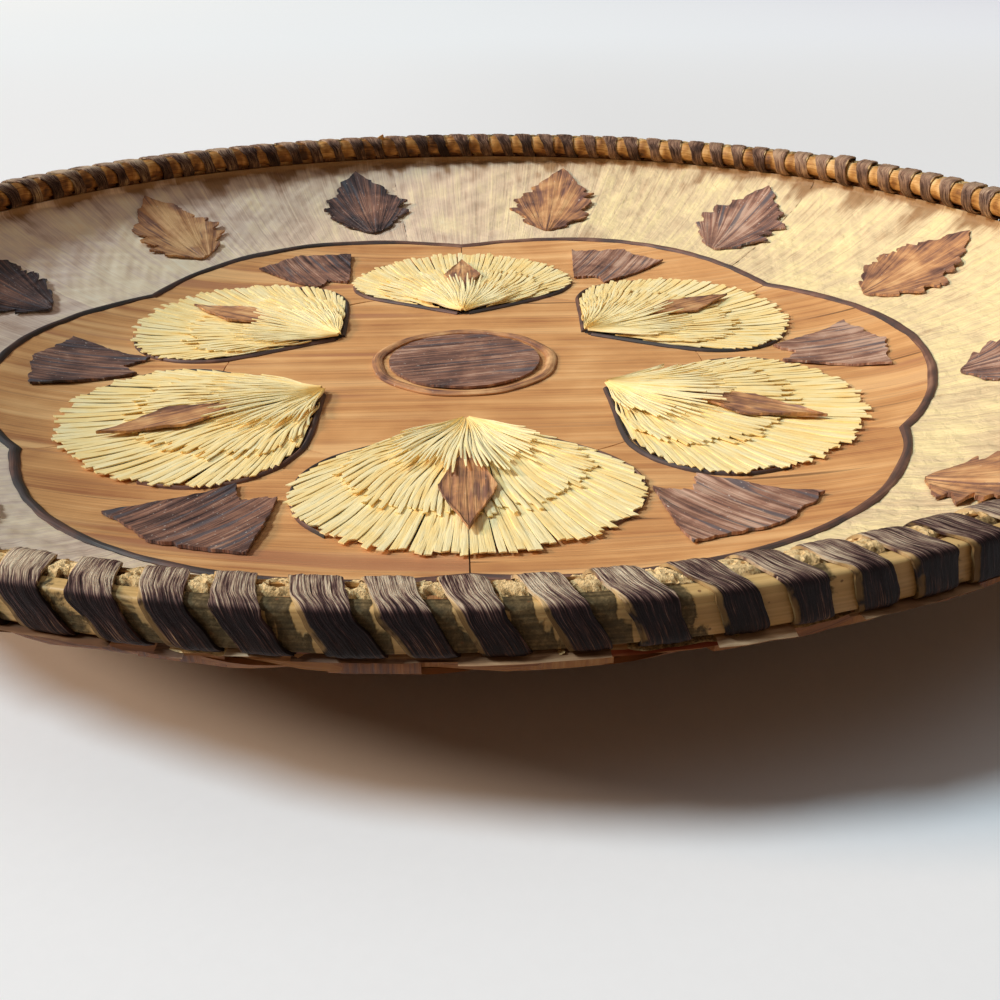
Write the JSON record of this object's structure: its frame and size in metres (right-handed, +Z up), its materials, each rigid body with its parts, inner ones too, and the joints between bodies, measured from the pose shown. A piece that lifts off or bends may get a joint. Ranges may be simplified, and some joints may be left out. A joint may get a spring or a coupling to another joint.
{
  "type": "woven banana leaf tray",
  "caption": "Shallow round tray of plaited leaf, clamped between two hoops by a wound fibre lashing and lined with cut sheets of leaf and bark in a petal pattern.",
  "frame": {"origin": "middle of the flat underside, on the surface the tray stands on", "axes": "+Z up, out of the open side of the tray; -Y towards the side seen nearest in the picture; +X to the right there"},
  "size_m": [0.3618, 0.3618, 0.0409],
  "materials": {
    "mat": "matte",
    "outer_hoop": "satin",
    "inner_hoop": "satin",
    "lashing": "satin",
    "cream_leaf": "matte",
    "tan_bark": "satin",
    "outline": "matte",
    "fringe": "matte",
    "dark_bark": "matte",
    "red_bark": "matte"
  },
  "bodies": {
    "root": {"base_mat": "mat", "outer_hoop": "outer_hoop", "inner_hoop": "inner_hoop", "rim_lashing_1": "lashing", "rim_lashing_2": "lashing", "rim_lashing_3": "lashing", "rim_lashing_4": "lashing", "rim_lashing_5": "lashing", "rim_lashing_6": "lashing", "wall_sheet_1": "cream_leaf", "wall_sheet_2": "cream_leaf", "wall_sheet_3": "cream_leaf", "wall_sheet_4": "cream_leaf", "wall_sheet_5": "cream_leaf", "wall_sheet_6": "cream_leaf", "ground_disc": "tan_bark", "ground_sheet_1": "tan_bark", "ground_sheet_2": "tan_bark", "ground_sheet_3": "tan_bark", "ground_sheet_4": "tan_bark", "ground_sheet_5": "tan_bark", "ground_sheet_6": "tan_bark", "outline_strip": "outline", "petal_1": "fringe", "petal_2": "fringe", "petal_3": "fringe", "petal_4": "fringe", "petal_5": "fringe", "petal_6": "fringe", "petal_vein_1": "dark_bark", "petal_vein_2": "dark_bark", "petal_vein_3": "dark_bark", "petal_vein_4": "dark_bark", "petal_vein_5": "dark_bark", "petal_vein_6": "dark_bark", "dart_1": "dark_bark", "dart_2": "dark_bark", "dart_3": "dark_bark", "dart_4": "dark_bark", "dart_5": "dark_bark", "dart_6": "dark_bark", "centre_disc": "dark_bark", "leaf_motif_1": "red_bark", "leaf_motif_2": "red_bark", "leaf_motif_3": "red_bark", "leaf_motif_4": "red_bark", "leaf_motif_5": "red_bark", "leaf_motif_6": "red_bark", "leaf_motif_7": "red_bark", "leaf_motif_8": "red_bark", "leaf_motif_9": "red_bark", "leaf_motif_10": "red_bark", "leaf_motif_11": "red_bark", "leaf_motif_12": "red_bark", "centre_ring": "red_bark"}
  },
  "joints": []
}
